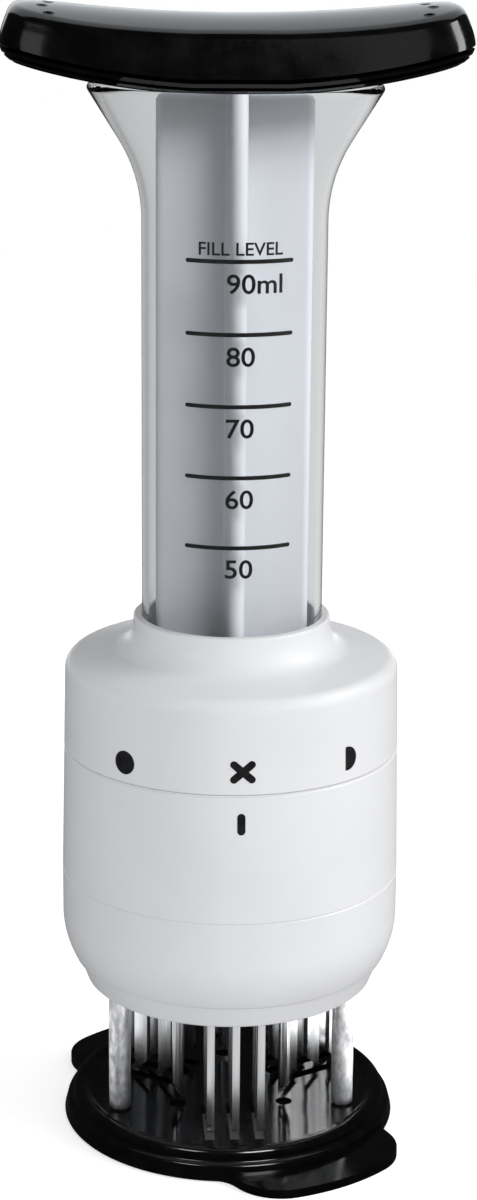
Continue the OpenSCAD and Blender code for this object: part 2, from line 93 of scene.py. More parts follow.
def leave_edit():
    """Turns the faces of the mesh being edited outwards, and leaves edit mode."""
    bpy.ops.mesh.select_all(action="SELECT")
    bpy.ops.mesh.normals_make_consistent(inside=False)
    bpy.ops.object.mode_set(mode="OBJECT")


def pick(piece):
    """One piece selected alone."""
    bpy.ops.object.select_all(action="DESELECT")
    piece.select_set(True)
    bpy.context.view_layer.objects.active = piece


def smooth(piece, sharp=32):
    """Smooth shading, except over edges sharper than an angle in degrees."""
    pick(piece)
    bpy.ops.object.shade_smooth_by_angle(angle=math.radians(sharp))


def lathe(name, outline, closed=True, steps=128):
    """A turned piece: an outline of radius and height in millimetres, spun about the upright axis."""
    piece = trace(name, [(r / 1000, 0, z / 1000) for r, z in outline], closed)
    bpy.ops.mesh.spin(steps=steps, angle=math.tau, center=(0, 0, 0), axis=(0, 0, 1))
    bpy.ops.mesh.select_all(action="SELECT")
    bpy.ops.mesh.remove_doubles(threshold=2e-6)
    leave_edit()
    smooth(piece)
    return piece


def slab(name, outline, low, high):
    """A flat piece: an outline in millimetres, filled and extruded between two heights."""
    piece = trace(name, [(x / 1000, y / 1000, low / 1000) for x, y in outline])
    bpy.ops.mesh.edge_face_add()
    bpy.ops.mesh.extrude_region_move(TRANSFORM_OT_translate={"value": (0, 0, (high - low) / 1000)})
    leave_edit()
    return piece


def soften_edges(piece, width, segments=4, sharp=40):
    """Rounded edges, all over a piece."""
    bevel = piece.modifiers.new("soft_edges", "BEVEL")
    bevel.width = width / 1000
    bevel.segments = segments
    bevel.limit_method = "ANGLE"
    bevel.angle_limit = math.radians(sharp)
    bpy.context.view_layer.objects.active = piece
    bpy.ops.object.modifier_apply(modifier=bevel.name)


def combine(piece, other, operation):
    """Adds another piece to this one or cuts it out of it, and removes the other."""
    tool = piece.modifiers.new("combine", "BOOLEAN")
    tool.operation = operation
    tool.solver = "EXACT"
    tool.object = other
    bpy.context.view_layer.objects.active = piece
    bpy.ops.object.modifier_apply(modifier=tool.name)
    bpy.data.objects.remove(other, do_unlink=True)


def join(pieces, name):
    """Several pieces made one object."""
    bpy.ops.object.select_all(action="DESELECT")
    for piece in pieces:
        piece.select_set(True)
    bpy.context.view_layer.objects.active = pieces[0]
    bpy.ops.object.join()
    joined = bpy.context.object
    joined.name = joined.data.name = name
    return joined


plate_r, floor_r, floor_t, foot_w, foot_draft = 32.25, 27.3, 2.2, 3.6, 0.3
rim_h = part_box("guard_plate")[1].z * 1000
floor_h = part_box("guide_posts")[0].z * 1000
floor_round, floor_inset, lip_round, lip_inset = 1.2, 0.4, 0.9, 0.2
crest_in_r, crest_out_r, crest_round, foot_round = 28.7, 30.6, 1.5, 0.5
groove_round, groove_drop, step_round, step_drop, step_r = 0.5, 0.35, 0.8, 0.05, 31.75
dish_outline = [(0, floor_h)]
dish_outline += arc((floor_r - floor_inset, floor_h + floor_round), floor_round, -90, -60, 4)
dish_outline += arc((crest_in_r + lip_inset, rim_h - lip_round), lip_round, 118, 90, 4)
dish_outline += arc((crest_out_r - crest_round, rim_h - crest_round), crest_round, 90, -10, 14)
groove = (crest_out_r + groove_round, rim_h - crest_round - groove_drop)
dish_outline += arc(groove, groove_round, 170, 260)[1:]
step_h = dish_outline[-1][1] - step_drop
dish_outline += arc((step_r - step_round, step_h - step_round), step_round, 80, 8, 10)
dish_outline += arc((plate_r - foot_round, foot_round), foot_round, 20, -90, 6)
foot_in_r, under_h = plate_r - foot_w, floor_h - floor_t
dish_outline += [(foot_in_r, 0), (foot_in_r - foot_draft, under_h), (0, under_h)]
dish = lathe("guard_dish", dish_outline, closed=False)

tab_t, tab_reach, tab_w, tab_corner_r, tab_fillet = 1.8, 40.0, 35.0, 10.0, 6.0
tab_turns, tab_edge_round, tab_root_half = (-60, 120), 0.55, 12
hub_r, trim_r, trim_low, trim_high = plate_r - 0.5, plate_r - 2.2, -1, 4
fillet_x = math.sqrt((hub_r + tab_fillet) ** 2 - (tab_w / 2 + tab_fillet) ** 2)
fillet_turn = math.degrees(math.atan2(tab_w / 2 + tab_fillet, fillet_x))
corner_y = tab_w / 2 - tab_corner_r
corner_x = math.sqrt((tab_reach - tab_corner_r) ** 2 - corner_y ** 2)
corner_turn = math.degrees(math.atan2(corner_y, corner_x))
half_tab = arc((0, 0), tab_reach, 0, corner_turn, 6)
half_tab += arc((corner_x, corner_y), tab_corner_r, corner_turn, 90, 10)[1:]
half_tab += arc((fillet_x, tab_w / 2 + tab_fillet), tab_fillet, 270, 180 + fillet_turn)
other_half = [(x, -y) for x, y in reversed(half_tab)][:-1]
tab_outline = [(0, -tab_root_half), *other_half, *half_tab, (0, tab_root_half)]
for degrees in tab_turns:
    tab = slab("finger_tab", turned(tab_outline, degrees), 0, tab_t)
    soften_edges(tab, tab_edge_round)
    trim = lathe("tab_trim", oblong(0, trim_low, trim_r, trim_high), closed=False, steps=96)
    combine(tab, trim, "DIFFERENCE")
    combine(dish, tab, "UNION")

blade_turns, blade_offsets = (-90, 30, 150), (-4.75, 0, 4.75)
slot_in_r, slot_out_r, slot_w = 9.1, 24.3, 2.1
needle_turns, needle_ring_r, needle_hole_r = (-140, -40, 90), 13.5, 1.6
cut_low, cut_high = -1, floor_h + 2
cutters = []
for degrees in blade_turns:
    for offset in blade_offsets:
        corners = oblong(slot_in_r, offset - slot_w / 2, slot_out_r, offset + slot_w / 2)
        cutters.append(slab("slot", turned(corners, degrees), cut_low, cut_high))
for degrees in needle_turns:
    middle = turned([(needle_ring_r, 0)], degrees)[0]
    cutters.append(slab("needle_hole", circle(middle, needle_hole_r, 24), cut_low, cut_high))
combine(dish, join(cutters, "guard_openings"), "DIFFERENCE")
smooth(dish)


def finish_of(name):
    """A new material, and its shader."""
    material = bpy.data.materials.new(name)
    material.use_nodes = True
    return material, material.node_tree.nodes["Principled BSDF"]


def grain(material, scale, detail, stretch=(1, 1, 1)):
    """A noise pattern that is fixed to the piece."""
    tree = material.node_tree
    place = tree.nodes.new("ShaderNodeTexCoord")
    fit = tree.nodes.new("ShaderNodeMapping")
    fit.inputs["Scale"].default_value = stretch
    noise = tree.nodes.new("ShaderNodeTexNoise")
    noise.inputs["Scale"].default_value = scale
    noise.inputs["Detail"].default_value = detail
    tree.links.new(place.outputs["Object"], fit.inputs["Vector"])
    tree.links.new(fit.outputs["Vector"], noise.inputs["Vector"])
    return noise


def ranged(tree, value, start, end, low, high):
    """A value between two ends, spread evenly over a low and a high level."""
    levels = tree.nodes.new("ShaderNodeMapRange")
    levels.inputs["From Min"].default_value = start
    levels.inputs["From Max"].default_value = end
    levels.inputs["To Min"].default_value = low
    levels.inputs["To Max"].default_value = high
    tree.links.new(value, levels.inputs["Value"])
    return levels.outputs["Result"]


def roughen(material, noise, low, high, start=0.3, end=0.7):
    """Turns a pattern into a roughness between two limits."""
    tree = material.node_tree
    roughness = ranged(tree, noise.outputs["Fac"], start, end, low, high)
    tree.links.new(roughness, tree.nodes["Principled BSDF"].inputs["Roughness"])


def tint(material, noise, dark, light, start=0.35, end=0.65):
    """Turns a pattern into a colour between two shades."""
    tree = material.node_tree
    shades = tree.nodes.new("ShaderNodeValToRGB")
    for stop, place, shade in zip(shades.color_ramp.elements, (start, end), (dark, light)):
        stop.position = place
        stop.color = (*shade, 1)
    tree.links.new(noise.outputs["Fac"], shades.inputs["Fac"])
    tree.links.new(shades.outputs["Color"], tree.nodes["Principled BSDF"].inputs["Base Color"])


def emboss(material, noise, strength, depth=0.0002):
    """Turns a pattern into a fine relief."""
    tree = material.node_tree
    bump = tree.nodes.new("ShaderNodeBump")
    bump.inputs["Strength"].default_value = strength
    bump.inputs["Distance"].default_value = depth
    tree.links.new(noise.outputs["Fac"], bump.inputs["Height"])
    tree.links.new(bump.outputs["Normal"], tree.nodes["Principled BSDF"].inputs["Normal"])


def dress(piece, material):
    """One finish all over a piece."""
    piece.data.materials.clear()
    piece.data.materials.append(material)


black_gloss, shader = finish_of("black_gloss")
shader.inputs["IOR"].default_value = 1.5
fine = grain(black_gloss, scale=260, detail=3)
tint(black_gloss, fine, dark=(0.0022, 0.0022, 0.0024), light=(0.004, 0.004, 0.0043))
roughen(black_gloss, fine, low=0.09, high=0.17)
emboss(black_gloss, grain(black_gloss, scale=900, detail=2), strength=0.04)
dress(dish, black_gloss)
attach(dish, "guard")
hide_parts("guard_plate")


# Guide posts: three turned steel posts that carry the guard plate.
# Their drawn surface is a little mottled, and they slide in the white plate above.
post_steel, shader = finish_of("post_steel")
shader.inputs["Metallic"].default_value = 1.0
mottle = grain(post_steel, scale=900, detail=6, stretch=(1, 1, 0.5))
tint(post_steel, mottle, dark=(0.55, 0.56, 0.58), light=(0.96, 0.96, 0.97))
roughen(post_steel, mottle, low=0.62, high=0.45)
emboss(post_steel, grain(post_steel, scale=2200, detail=3), strength=0.05)
dress(nodes["guide_posts"], post_steel)


# Post screws: pan-head steel screws that hold the guard plate to the posts from below.
# Each head is domed and has a cross recess.
def set_round(piece, turns, ring_r):
    """Copies of a piece round a ring, each with its own mesh."""
    copies = [piece]
    for _ in turns[1:]:
        pick(piece)
        bpy.ops.object.duplicate()
        copies.append(bpy.context.object)
    for copy, degrees in zip(copies, turns):
        place = turned([(ring_r / 1000, 0)], degrees)[0]
        copy.data.transform(Matrix.Translation((*place, 0)))
    return copies


screw_low, screw_high = (corner.z * 1000 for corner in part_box("post_screws"))
post_turns, post_ring_r = (-156, -24, 90), 23.6
head_r, head_h, dome_r, dome_x, shank_r = 2.1, 1.3, 1.25, 0.9, 1.1
recess_w, recess_t, recess_low, recess_high = 2.4, 0.55, screw_low - 1, screw_low + 0.7
screw_outline = [(0, screw_low)] + arc((dome_x, screw_low + dome_r), dome_r, -90, -12, 6)
screw_outline += [(head_r, screw_low + head_h), (shank_r, screw_low + head_h)]
screw_outline += [(shank_r, screw_high), (0, screw_high)]
screw = lathe("screw", screw_outline, closed=False, steps=32)
for quarter in (0, 90):
    recess = turned(oblong(-recess_w / 2, -recess_t / 2, recess_w / 2, recess_t / 2), quarter)
    combine(screw, slab("recess", recess, recess_low, recess_high), "DIFFERENCE")
screw_set = join(set_round(screw, post_turns, post_ring_r), "guard_screws")
smooth(screw_set)
screw_steel, shader = finish_of("screw_steel")
shader.inputs["Metallic"].default_value = 1.0
plating = grain(screw_steel, scale=600, detail=3)
tint(screw_steel, plating, dark=(0.5, 0.5, 0.52), light=(0.62, 0.62, 0.63))
roughen(screw_steel, plating, low=0.25, high=0.4)
dress(screw_set, screw_steel)
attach(screw_set, "guard")
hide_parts("post_screws")


# Hollow needles and tined blades: stainless steel, ground to slanted points.
# Fine grinding marks run along them, and they are moulded into the white plate.
needle_steel, shader = finish_of("ground_steel")
shader.inputs["Metallic"].default_value = 1.0
grinding = grain(needle_steel, scale=700, detail=5, stretch=(1, 1, 0.04))
tint(needle_steel, grinding, dark=(0.62, 0.63, 0.65), light=(0.86, 0.87, 0.88))
roughen(needle_steel, grinding, low=0.3, high=0.16)
emboss(needle_steel, grinding, strength=0.06)
for node in ("injection_needles", "front_blades", "right_blades", "left_blades"):
    dress(nodes[node], needle_steel)


# White shells: the needle plate, the skirt, the index ring and the dial, with the valve inside them.
# They are moulded in satin white plastic with fine, even grain, and stack with thin seams.
white_satin, shader = finish_of("white_satin")
shader.inputs["IOR"].default_value = 1.48
cloud = grain(white_satin, scale=45, detail=2)
tint(white_satin, cloud, dark=(0.79, 0.795, 0.81), light=(0.82, 0.825, 0.84))
roughen(white_satin, grain(white_satin, scale=500, detail=3), low=0.34, high=0.46)
emboss(white_satin, grain(white_satin, scale=1800, detail=2), strength=0.05)
for node in ("needle_plate", "lower_skirt", "index_ring", "dial_collar", "valve_rotor", "valve_manifold"):
    dress(nodes[node], white_satin)


# Slip ring: a thin white washer on the index ring, which the dial turns on.
# It fills the seam below the dial, so that only a fine line shows.
dial_low, dial_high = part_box("dial_collar")
dial_foot, seam_r = dial_low.z, dial_high.x
slip_in_r, slip_out_r, slip_drop, slip_play = 29.4, seam_r * 1000 - 0.15, 0.27, 0.05
slip_low, slip_high = dial_foot * 1000 - slip_drop, dial_foot * 1000 - slip_play
slip_ring = lathe("slip_ring", oblong(slip_in_r, slip_low, slip_out_r, slip_high))
dress(slip_ring, white_satin)
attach(slip_ring, "housing")


# Setting marks: pad-printed in black ink on the dial and the index ring.
# A dot is full flow, a half disc is half flow, a cross is closed, and the bar points at them.
ink_t = 0.05


def print_shape(name, outline):
    """A flat print of an outline in millimetres, fine enough to bend, lying in the drawing plane."""
    piece = trace(name, [(x / 1000, y / 1000, 0) for x, y in outline])
    bpy.ops.mesh.edge_face_add()
    bpy.ops.mesh.quads_convert_to_tris()
    bpy.ops.mesh.subdivide(number_cuts=2)
    bpy.ops.mesh.extrude_region_move(TRANSFORM_OT_translate={"value": (0, 0, ink_t / 1000)})
    leave_edit()
    return piece


def wrap(piece, radius_low, height_low, radius_high, height_high, turn=0.0):
    """Bends a flat print round the upright axis, onto a wall that leans evenly between two heights."""
    lean = (radius_high - radius_low) / (height_high - height_low)
    for point in piece.data.vertices:
        across, up, proud = point.co.x, point.co.y, point.co.z
        radius = radius_low + lean * (up - height_low) + proud
        angle = math.radians(turn - 90) + across / radius_low
        point.co = (radius * math.cos(angle), radius * math.sin(angle), up)


print_ink = finish_of("print_ink")[0]
blot = grain(print_ink, scale=800, detail=3)
tint(print_ink, blot, dark=(0.012, 0.0125, 0.014), light=(0.02, 0.0205, 0.022))
roughen(print_ink, blot, low=0.4, high=0.55)
dial_draft, dial_wall_h = 0.0003, 0.015
mark_turn, mark_z, cross_turn, cross_leans = 41, dial_foot * 1000 + 4.45, 0.4, (41, -41)
dot_r, dot_drop, half_r, half_x, half_turn, stroke, arm = 2.2, 0.5, 2.25, -1.35, 102, 0.7, 2.14
cross_stroke = arc((arm, 0), stroke, -90, 90) + arc((-arm, 0), stroke, 90, 270)
mark_rows = [("full_dot", circle((0, 0), dot_r, 45), -mark_turn, mark_z - dot_drop),
             ("half_dot", arc((half_x, 0), half_r, -half_turn, half_turn, 24), mark_turn, mark_z)]
mark_rows += [("cross_stroke", turned(cross_stroke, lean), cross_turn, mark_z) for lean in cross_leans]
marks = []
for name, outline, turn, height in mark_rows:
    mark = print_shape(name, outline)
    mark.data.transform(Matrix.Translation((0, height / 1000, 0)))
    wrap(mark, seam_r, dial_foot, seam_r - dial_draft, dial_foot + dial_wall_h, turn)
    marks.append(mark)
setting_marks = join(marks, "setting_marks")
dress(setting_marks, print_ink)
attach(setting_marks, "dial")

body_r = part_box("index_ring")[1].x
ring_wall_h, ring_gap = 0.0247, 0.0003
bar_half, bar_r, bar_drop = 1.3, 0.74, 0.0054
bar_outline = arc((0, bar_half), bar_r, 0, 180, 10) + arc((0, -bar_half), bar_r, 180, 360, 10)
index_bar = print_shape("index_bar", bar_outline)
index_bar.data.transform(Matrix.Translation((0, dial_foot - bar_drop, 0)))
wrap(index_bar, body_r, dial_foot - ring_wall_h, seam_r, dial_foot - ring_gap)
dress(index_bar, print_ink)
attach(index_bar, "housing")


# Post springs: three springs wound from bright steel wire.
# Each one sits between the head of a post and the deck above it.
def close_ends():
    """Fills the open ends of the mesh being edited, and leaves edit mode."""
    bpy.ops.mesh.select_all(action="DESELECT")
    bpy.ops.mesh.select_non_manifold()
    bpy.ops.mesh.fill_holes(sides=0)
    leave_edit()


spring_low, spring_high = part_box("post_springs")
spring_h = (spring_high.z - spring_low.z) * 1000
wire_r, coil_r, coil_turns, press_travel = 0.4, 2.2, 7, 22.0
wire_section = circle((coil_r, spring_low.z * 1000 + wire_r), wire_r, 10)
spring = trace("spring", [(r / 1000, 0, z / 1000) for r, z in wire_section])
bpy.ops.object.mode_set(mode="OBJECT")
winding = spring.modifiers.new("winding", "SCREW")
winding.angle = math.tau
winding.iterations = coil_turns
winding.screw_offset = (spring_h - 2 * wire_r) / coil_turns / 1000
winding.steps = winding.render_steps = 32
bpy.ops.object.modifier_apply(modifier=winding.name)
bpy.ops.object.mode_set(mode="EDIT")
close_ends()
spring_set = join(set_round(spring, post_turns, post_ring_r), "guard_springs")
smooth(spring_set, sharp=40)
spring_steel, shader = finish_of("spring_wire")
shader.inputs["Metallic"].default_value = 1.0
drawn = grain(spring_steel, scale=900, detail=3)
tint(spring_steel, drawn, dark=(0.5, 0.5, 0.52), light=(0.66, 0.66, 0.68))
roughen(spring_steel, drawn, low=0.2, high=0.32)
dress(spring_set, spring_steel)
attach(spring_set, "housing")
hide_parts("post_springs")
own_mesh(spring_set)


# Seals and gasket: soft grey silicone rings, which the shells and the tube hide.
# Each one is pressed into its groove.
silicone, shader = finish_of("silicone")
shader.inputs["Subsurface Weight"].default_value = 0.15
shader.inputs["Subsurface Scale"].default_value = 0.002
skin = grain(silicone, scale=300, detail=3)
tint(silicone, skin, dark=(0.42, 0.43, 0.45), light=(0.48, 0.49, 0.51))
roughen(silicone, skin, low=0.5, high=0.62)
for node in ("piston_seal", "tube_seal", "valve_gasket", "chamber_seal"):
    dress(nodes[node], silicone)


# Measuring tube: moulded in clear plastic, with a flared mouth and a rolled edge.
# It stands in the valve cup and turns with the dial.
# It throws hardly any shade, so that lamps reach the rod inside.
tube_low, tube_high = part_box("measuring_tube")
tube_r, tube_wall = 16.9, 1.2
bore_r = tube_r - tube_wall
mouth_r = tube_high.x * 1000
foot_z, mouth_z = tube_low.z * 1000, tube_high.z * 1000
flare_turn, bend_r, bead_r = 31, 27.0, 0.8
flare = math.radians(flare_turn)
bead = (mouth_r - bead_r, mouth_z - bead_r)
flare_end = (bead[0] + tube_wall / 2 * math.cos(flare), bead[1] - tube_wall / 2 * math.sin(flare))
bend_end_r = tube_r + bend_r * (1 - math.cos(flare))
bend_end_z = flare_end[1] - (flare_end[0] - bend_end_r) / math.tan(flare)
bend = (tube_r + bend_r, bend_end_z - bend_r * math.sin(flare))
tube_outline = [(bore_r, foot_z), (tube_r, foot_z)]
tube_outline += arc(bend, bend_r, 180, 180 - flare_turn, 14)
tube_outline += arc(bead, bead_r, -flare_turn, 180 - flare_turn, 12)
tube_outline += arc(bend, bend_r + tube_wall, 180 - flare_turn, 180, 14)
tube = lathe("clear_tube", tube_outline)
clear, shader = finish_of("clear_plastic")
shader.inputs["Base Color"].default_value = (0.972, 0.985, 0.995, 1)
shader.inputs["Transmission Weight"].default_value = 1.0
shader.inputs["IOR"].default_value = 1.12
roughen(clear, grain(clear, scale=120, detail=3), low=0.02, high=0.05)
tree = clear.node_tree
path = tree.nodes.new("ShaderNodeLightPath")
open_air = tree.nodes.new("ShaderNodeBsdfTransparent")
open_air.inputs["Color"].default_value = (0.985, 0.985, 0.988, 1)
either = tree.nodes.new("ShaderNodeMixShader")
tree.links.new(path.outputs["Is Shadow Ray"], either.inputs[0])
tree.links.new(shader.outputs["BSDF"], either.inputs[1])
tree.links.new(open_air.outputs["BSDF"], either.inputs[2])
tree.links.new(either.outputs["Shader"], tree.nodes["Material Output"].inputs["Surface"])
dress(tube, clear)
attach(tube, "dial")
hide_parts("measuring_tube")


# Scale: black lines and plain numbers screen-printed on the outside of the tube.
# Each step holds ten millilitres more.
top_line_z, line_step, line_half, line_t, half_parts = mouth_z - 29.6, 12.93, 9.7, 0.75, 12
figure_h, figure_top, figure_left, figure_spread = 3.4, 2.2, -2.4, 1.1
word_h, word_low, word_left, word_right = 2.25, 1.1, -7.5, 7.8
letter_weight, letter_parts, cap_height = 0.012, 4, 0.73


def lettering(words, height, left, low, right=None):
    """Plain letters as a thin print, set by the height of a figure and by their lower left corner."""
    bpy.ops.object.select_all(action="DESELECT")
    bpy.ops.object.text_add(location=(0, 0, 0))
    letters = bpy.context.object
    letters.data.body = words
    letters.data.size = 1
    letters.data.offset = letter_weight
    letters.data.resolution_u = letter_parts
    letters.data.extrude = ink_t / height / 2
    bpy.ops.object.convert(target="MESH")
    across = [v.co.x for v in letters.data.vertices]
    up = height / 1000 / max(v.co.y for v in letters.data.vertices if v.co.y < cap_height)
    wide = (right - left) / 1000 / (max(across) - min(across)) if right else figure_spread * up
    fit = Matrix.Diagonal((wide, up, up, 1))
    place = Matrix.Translation((left / 1000 - min(across) * wide, low / 1000, ink_t / 2000))
    letters.data.transform(place @ fit)
    return letters


line_outline = [(-line_half + i * line_half / half_parts, -line_t / 2) for i in range(2 * half_parts + 1)]
line_outline += arc((line_half, 0), line_t / 2, -90, 90, 6)[1:]
line_outline += [(line_half - i * line_half / half_parts, line_t / 2) for i in range(1, 2 * half_parts + 1)]
line_outline += arc((-line_half, 0), line_t / 2, 90, 270, 6)[1:-1]
prints = []
for count, label in enumerate(("90ml", "80", "70", "60", "50")):
    line_z = top_line_z - count * line_step
    line = print_shape("scale_line", line_outline)
    line.data.transform(Matrix.Translation((0, line_z / 1000, 0)))
    prints.append(line)
    prints.append(lettering(label, figure_h, figure_left, line_z - figure_top - figure_h))
prints.append(lettering("FILL LEVEL", word_h, word_left, top_line_z + word_low, word_right))
for piece in prints:
    wrap(piece, tube_r / 1000, 0, tube_r / 1000, 1)
scale = join(prints, "scale_print")
dress(scale, print_ink)
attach(scale, "dial")


# Plunger rod and piston head: moulded in smooth pale grey plastic, cross-shaped to stay stiff.
# The rod carries the handle on its stem and the head on its spigot.
pale_grey, shader = finish_of("pale_grey")
shader.inputs["IOR"].default_value = 1.48
flow = grain(pale_grey, scale=90, detail=3, stretch=(1, 1, 0.2))
tint(pale_grey, flow, dark=(0.495, 0.508, 0.53), light=(0.537, 0.55, 0.574))
roughen(pale_grey, flow, low=0.34, high=0.48)
rod_low, rod_high = (corner.z * 1000 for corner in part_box("plunger_rod"))
spigot_r, spigot_h, spigot_lap, stem_r, stem_h, stem_lap = 4.0, 4.5, 1, 5.0, 7.0, 0.05
fin_half, fin_reach, fin_fillet = 1.45, 14.3, 0.5
rod_foot, rod_head = rod_low + spigot_h, rod_high - stem_h - stem_lap
fin_tip = arc((fin_reach - fin_half, 0), fin_half, -90, 90, 10)
inner_corner = arc((fin_half + fin_fillet, fin_half + fin_fillet), fin_fillet, 270, 180, 5)
cross = []
for quarter in (0, 90, 180, 270):
    cross += turned(fin_tip + inner_corner, quarter)
rod = slab("cross_rod", cross, rod_foot, rod_head)
pins = ((spigot_r, rod_low, rod_foot + spigot_lap), (stem_r, rod_head - stem_lap, rod_high))
for radius, low, high in pins:
    combine(rod, lathe("rod_pin", oblong(0, low, radius, high), closed=False, steps=48), "UNION")
smooth(rod)
dress(rod, pale_grey)
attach(rod, "plunger")
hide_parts("plunger_rod")
dress(nodes["piston_head"], pale_grey)


# Handle: a boat-shaped palm grip moulded in glossy black plastic, in two shells on the stem of the rod.
# It is hollowed along its length and crowned across it, and small dimples mark its ends.
top_low, top_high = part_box("handle_top_shell")
handle_l, handle_d = (top_high.x - top_low.x) * 1000, (top_high.y - top_low.y) * 1000
belly_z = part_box("handle_bottom_shell")[0].z * 1000
split_h, split_gap, soft_edge, handle_h, crown_h = 2.8, 0.02, 0.02, 9.9, 3.85
belly_r, top_dip_r, crest_dip_r, end_drop, end_power = 146.0, 290.0, 300.0, 3.3, 20
wall_lean, wall_power, grip_round, under_inset = 1.3, 1.6, 2.8, 3.2
round_start, round_turn, round_steps = math.radians(16), math.radians(65), 7
plan_power, plan_points = 5.0, 160
flat_shares, wall_shares = (0.03, 0.5, 0.9, 1), (0.2, 0.4, 0.6, 0.8)
crown_shares = (1, 0.98, 0.95, 0.91, 0.86, 0.8, 0.73, 0.65, 0.56, 0.46, 0.35, 0.23, 0.11, 0.03)
under_shares, under_turns = (0.03, 0.3, 0.6, 0.85, 1), (15, 30, 45, 60, 75)


def plan(inset, share=1.0):
    """The rounded plan of the handle, drawn in by an inset and then shrunk to a share."""
    points = []
    for i in range(plan_points):
        t = math.tau * (i + 0.5) / plan_points
        c, s = math.cos(t), math.sin(t)
        x = (handle_l / 2 - inset) * math.copysign(abs(c) ** (2 / plan_power), c) * share
        y = (handle_d / 2 - inset) * math.copysign(abs(s) ** (2 / plan_power), s) * share
        points.append((x, y))
    return points


def round_inset(turn):
    """How far the rounded edge of the grip has drawn in at a turn of its round."""
    return wall_lean + grip_round * (1 - math.cos(turn))


def belly(x):
    """Height of the underside, which rises to both ends."""
    return belly_z + x * x / (2 * belly_r)


def crown(x, y):
    """Height of the top, which is hollowed along its length and crowned across it."""
    low = belly_z + handle_h + x * x / (2 * top_dip_r)
    drop = end_drop * abs(2 * x / handle_l) ** end_power
    crest = belly_z + handle_h + crown_h + x * x / (2 * crest_dip_r) - drop
    return low + (crest - low) * (1 - (2 * y / handle_d) ** 2)


def loft(name, rings):
    """A closed skin drawn over a stack of rings."""
    wires = []
    for ring in rings:
        wires.append(trace("ring", [(x / 1000, y / 1000, z / 1000) for x, y, z in ring]))
        bpy.ops.object.mode_set(mode="OBJECT")
    piece = join(wires, name)
    bpy.ops.object.mode_set(mode="EDIT")
    bpy.ops.mesh.select_all(action="SELECT")
    bpy.ops.mesh.bridge_edge_loops(type="SINGLE")
    close_ends()
    smooth(piece, sharp=40)
    return piece


top_inset, wall_inset = round_inset(round_turn), round_inset(round_start)
round_h = grip_round * (math.sin(round_turn) - math.sin(round_start))
wall_top = [crown(x, y) - round_h for x, y in plan(top_inset)]
rings = [[(x, y, belly(x) + split_h + split_gap) for x, y in plan(soft_edge, share)] for share in flat_shares]
rings.append([(x, y, belly(x) + split_h + split_gap + soft_edge) for x, y in plan(0)])
for share in wall_shares:
    rings.append([(x, y, belly(x) + split_h + share * (wall_top[i] - belly(x) - split_h))
                  for i, (x, y) in enumerate(plan(wall_inset * share ** wall_power))])
for step in range(round_steps):
    t = round_start + (round_turn - round_start) * step / round_steps
    rings.append([(x, y, wall_top[i] + grip_round * (math.sin(t) - math.sin(round_start)))
                  for i, (x, y) in enumerate(plan(round_inset(t)))])
rings += [[(x, y, crown(x, y)) for x, y in plan(top_inset, share)] for share in crown_shares]
grip_top = loft("handle_top", rings)
dimple_r, dimple_depth = 1.5, 0.45
dimple_spots = ((33.2, -2.5), (34.2, -6.0), (33.0, -10.3))
dimples = []
for side in (-1, 1):
    for x, y in dimple_spots:
        bpy.ops.mesh.primitive_uv_sphere_add(segments=24, ring_count=12, radius=dimple_r / 1000, location=(0, 0, 0))
        dimple = bpy.context.object
        height = crown(x, y) + dimple_r - dimple_depth
        dimple.data.transform(Matrix.Translation((side * x / 1000, y / 1000, height / 1000)))
        dimples.append(dimple)
combine(grip_top, join(dimples, "dimples"), "DIFFERENCE")
smooth(grip_top, sharp=40)
dress(grip_top, black_gloss)
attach(grip_top, "plunger")
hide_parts("handle_top_shell")

rings = [[(x, y, belly(x)) for x, y in plan(under_inset, share)] for share in under_shares]
for degrees in under_turns:
    t = math.radians(degrees)
    rings.append([(x, y, belly(x) + split_h * (1 - math.cos(t))) for x, y in plan(under_inset * (1 - math.sin(t)))])
rings.append([(x, y, belly(x) + split_h - soft_edge) for x, y in plan(0)])
rings += [[(x, y, belly(x) + split_h) for x, y in plan(soft_edge, share)] for share in reversed(flat_shares)]
grip_under = loft("handle_under", rings)
dress(grip_under, black_gloss)
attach(grip_under, "plunger")
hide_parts("handle_bottom_shell")


# Floor and studio: a pale table under a white backdrop, lit by soft boxes.
# The room in front of the table is dim, so that the black pieces stay black.
floor_white, shader = finish_of("floor_white")
pale = grain(floor_white, scale=6, detail=2)
tint(floor_white, pale, dark=(0.9, 0.9, 0.905), light=(0.92, 0.92, 0.925))
roughen(floor_white, pale, low=0.6, high=0.7)
# The floor glows evenly, and that glow fades to nothing under the guard dish between two radii: painted shade
# beneath the dish.
shader.inputs["Emission Color"].default_value = (1, 1, 1, 1)
dim_r, bright_r, floor_glow, floor_size = plate_r - 5, plate_r - 1, 0.5, 2.4
tree = floor_white.node_tree
place = tree.nodes.new("ShaderNodeTexCoord")
reach = tree.nodes.new("ShaderNodeVectorMath")
reach.operation = "LENGTH"
tree.links.new(place.outputs["Object"], reach.inputs[0])
table_light = ranged(tree, reach.outputs["Value"], dim_r / 1000, bright_r / 1000, 0, floor_glow)
tree.links.new(table_light, shader.inputs["Emission Strength"])
bpy.ops.object.select_all(action="DESELECT")
bpy.ops.mesh.primitive_grid_add(x_subdivisions=4, y_subdivisions=4, size=floor_size, location=(0, 0, 0))
floor = bpy.context.object
floor.name = floor.data.name = "floor"
floor.visible_diffuse = False
floor.visible_glossy = False
floor.visible_transmission = False
dress(floor, floor_white)

studio = bpy.data.worlds.new("studio")
bpy.context.scene.world = studio
studio.use_nodes = True
tree = studio.node_tree
sky = tree.nodes["Background"]
direction = tree.nodes.new("ShaderNodeTexCoord")
split = tree.nodes.new("ShaderNodeSeparateXYZ")
tree.links.new(direction.outputs["Generated"], split.inputs["Vector"])
ray = tree.nodes.new("ShaderNodeLightPath")


